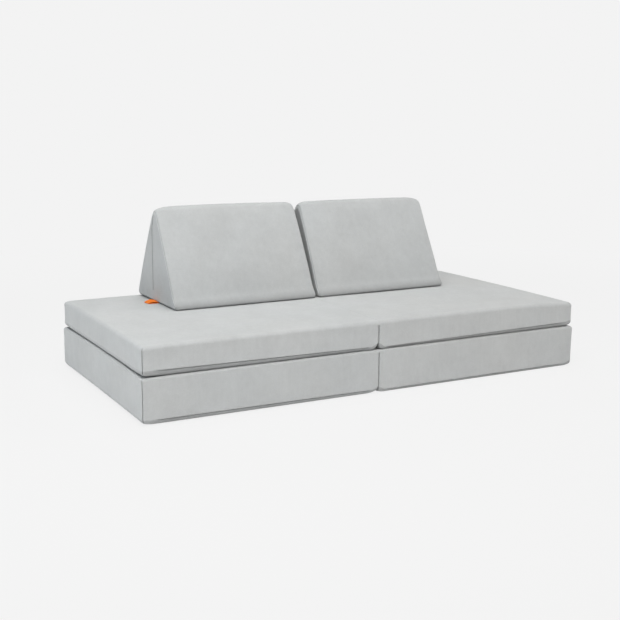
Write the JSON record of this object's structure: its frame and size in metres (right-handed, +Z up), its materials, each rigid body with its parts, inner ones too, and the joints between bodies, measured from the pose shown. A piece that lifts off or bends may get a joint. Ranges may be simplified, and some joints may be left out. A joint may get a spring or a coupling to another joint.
{
  "type": "modular foam play sofa",
  "caption": "Low foam play sofa: a base and a seat cushion that each fold in half, with wedge pillows standing on the seat as back rests, all in zipped fabric covers.",
  "frame": {"origin": "on the floor, under the middle of the sofa's bounding box", "axes": "+X along the sofa to the right as seen from the front, +Y to the back, +Z up; the front is -Y"},
  "size_m": [1.676, 0.838, 0.5876],
  "materials": {
    "cover_fabric": "light cool grey brushed microfibre, matt",
    "hinge_fabric": "the cover's own grey microfibre, stitched along the fold",
    "foam": "off-white open-cell polyurethane foam",
    "zip_tape": "grey woven tape with a nylon coil",
    "zip_metal": "grey lacquered die-cast zinc",
    "tag_fabric": "orange woven tape, bare"
  },
  "bodies": {
    "base_left": {"base_left_cover": "cover_fabric", "base_left_foam": "foam", "base_left_zip": "zip_tape", "base_crease": "hinge_fabric"},
    "base_right": {"base_right_cover": "cover_fabric", "base_right_foam": "foam", "base_right_zip": "zip_tape"},
    "seat_left": {"seat_left_cover": "cover_fabric", "seat_left_foam": "foam", "seat_left_zip": "zip_tape", "seat_crease": "hinge_fabric"},
    "seat_right": {"seat_right_cover": "cover_fabric", "seat_right_foam": "foam", "seat_right_zip": "zip_tape"},
    "pillow_left": {"pillow_left_cover": "cover_fabric", "pillow_left_foam": "foam", "pillow_left_zip": "zip_tape", "pillow_left_tag": "tag_fabric"},
    "pillow_right": {"pillow_right_cover": "cover_fabric", "pillow_right_foam": "foam", "pillow_right_zip": "zip_tape"},
    "base_left_slider": {"base_left_slider": "zip_metal", "base_left_pull": "zip_metal"},
    "base_right_slider": {"base_right_slider": "zip_metal", "base_right_pull": "zip_metal"},
    "seat_left_slider": {"seat_left_slider": "zip_metal", "seat_left_pull": "zip_metal"},
    "seat_right_slider": {"seat_right_slider": "zip_metal", "seat_right_pull": "zip_metal"},
    "pillow_left_slider": {"pillow_left_slider": "zip_metal", "pillow_left_pull": "zip_metal"},
    "pillow_right_slider": {"pillow_right_slider": "zip_metal", "pillow_right_pull": "zip_metal"}
  },
  "joints": [
    {"name": "base_fold", "type": "hinge", "parent": "base_left", "child": "base_right", "pos_m": [0, 0, 0.15115], "axis": [0, -1, 0], "range_deg": [0, 180]},
    {"name": "seat_lift", "type": "slide", "parent": "base_left", "child": "seat_left", "axis": [0, 0, 1], "range_m": [0, 2.74]},
    {"name": "seat_fold", "type": "hinge", "parent": "seat_left", "child": "seat_right", "pos_m": [0, 0, 0.24845], "axis": [0, -1, 0], "range_deg": [0, 180]},
    {"name": "pillow_left_lift", "type": "slide", "parent": "seat_left", "child": "pillow_left", "axis": [0, 0, 1], "range_m": [0, 2.52]},
    {"name": "pillow_right_lift", "type": "slide", "parent": "seat_left", "child": "pillow_right", "axis": [0, 0, 1], "range_m": [0, 2.52]},
    {"name": "base_left_zip_slide", "type": "slide", "parent": "base_left", "child": "base_left_slider", "axis": [-1, 0, 0], "range_m": [0, 0.568]},
    {"name": "base_right_zip_slide", "type": "slide", "parent": "base_right", "child": "base_right_slider", "axis": [1, 0, 0], "range_m": [0, 0.568]},
    {"name": "seat_left_zip_slide", "type": "slide", "parent": "seat_left", "child": "seat_left_slider", "axis": [-1, 0, 0], "range_m": [0, 0.565]},
    {"name": "seat_right_zip_slide", "type": "slide", "parent": "seat_right", "child": "seat_right_slider", "axis": [1, 0, 0], "range_m": [0, 0.565]},
    {"name": "pillow_left_zip_slide", "type": "slide", "parent": "pillow_left", "child": "pillow_left_slider", "axis": [0, 0, 1], "range_m": [0, 0.19]},
    {"name": "pillow_right_zip_slide", "type": "slide", "parent": "pillow_right", "child": "pillow_right_slider", "axis": [0, 0, 1], "range_m": [0, 0.19]}
  ],
  "couplings": [
    {"joint": "seat_lift", "follows": "base_fold", "m_per_rad": 0.87},
    {"joint": "pillow_left_lift", "follows": "seat_fold", "m_per_rad": 0.8},
    {"joint": "pillow_right_lift", "follows": "seat_fold", "m_per_rad": 0.8}
  ]
}
